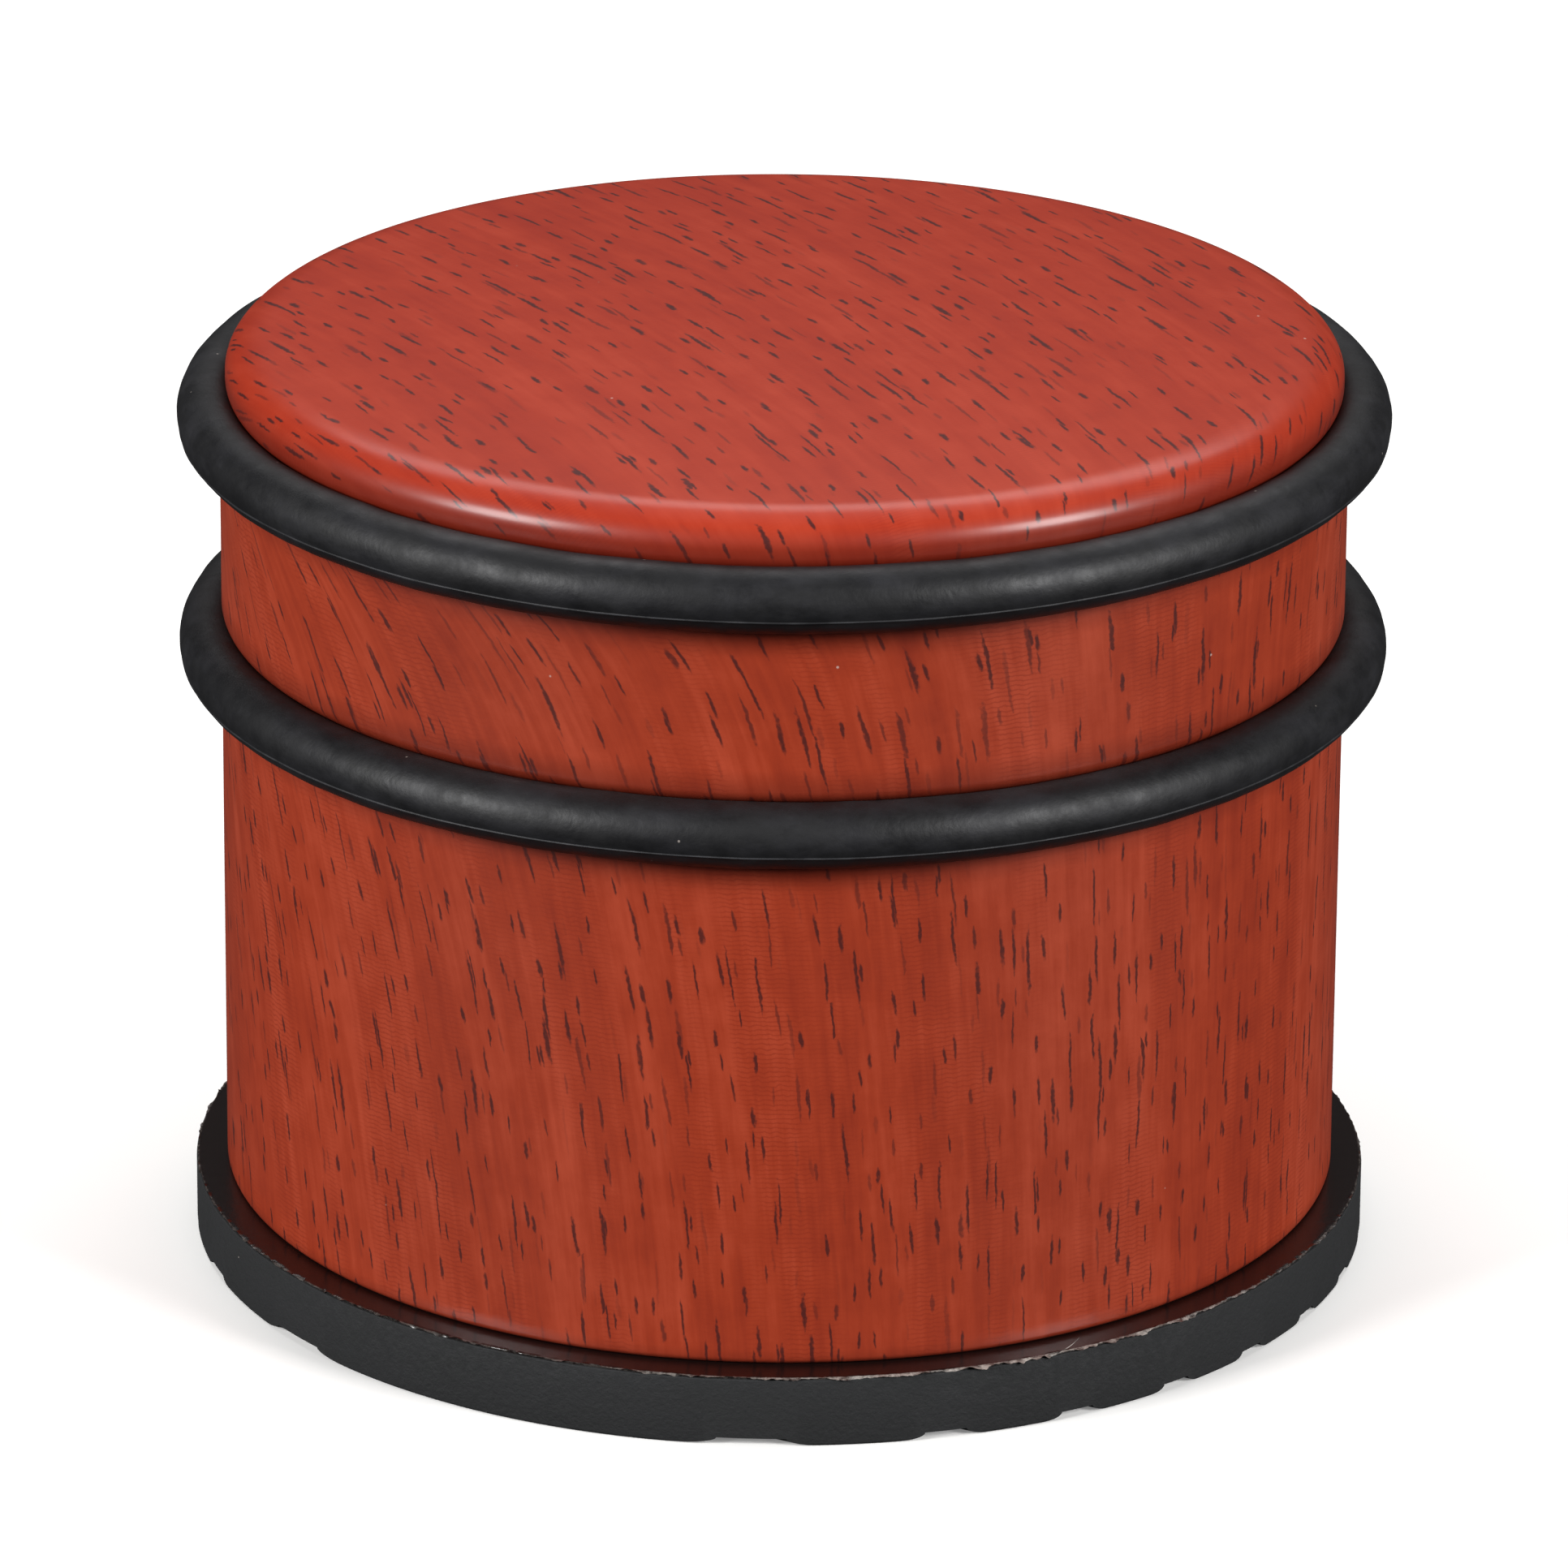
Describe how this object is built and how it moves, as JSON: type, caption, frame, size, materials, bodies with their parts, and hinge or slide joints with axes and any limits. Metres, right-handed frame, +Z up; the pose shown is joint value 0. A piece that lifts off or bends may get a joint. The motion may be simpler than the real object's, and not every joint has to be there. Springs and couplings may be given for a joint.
{
  "type": "door stop",
  "caption": "Round weighted floor door stop: wood-grain printed steel can with rubber bumper rings in rolled grooves and a ribbed rubber base mat.",
  "frame": {"origin": "on the floor, at the middle of the mat's ribbed underside, on the can's axis", "axes": "+Z up along the can's axis; -Y towards the front; the mat's ribs follow each other at 62 degrees from +X"},
  "size_m": [0.09, 0.09, 0.0713],
  "materials": {
    "wood_print": "steel printed with a red-brown wood grain under a semi-gloss clear coat",
    "ring_rubber": "satin black moulded rubber with a fine flash line",
    "cement": "grey cast cement with small voids",
    "zinc_steel": "zinc-plated pressed steel, slightly spangled",
    "bonding_film": "glossy dark adhesive film with a torn light edge",
    "mat_rubber": "matte charcoal rubber, ribbed underneath"
  },
  "bodies": {
    "root": {"shell": "wood_print", "upper_ring": "ring_rubber", "lower_ring": "ring_rubber", "ballast_core": "cement", "closing_disc": "zinc_steel", "adhesive_film": "bonding_film", "base_mat": "mat_rubber"}
  },
  "joints": []
}
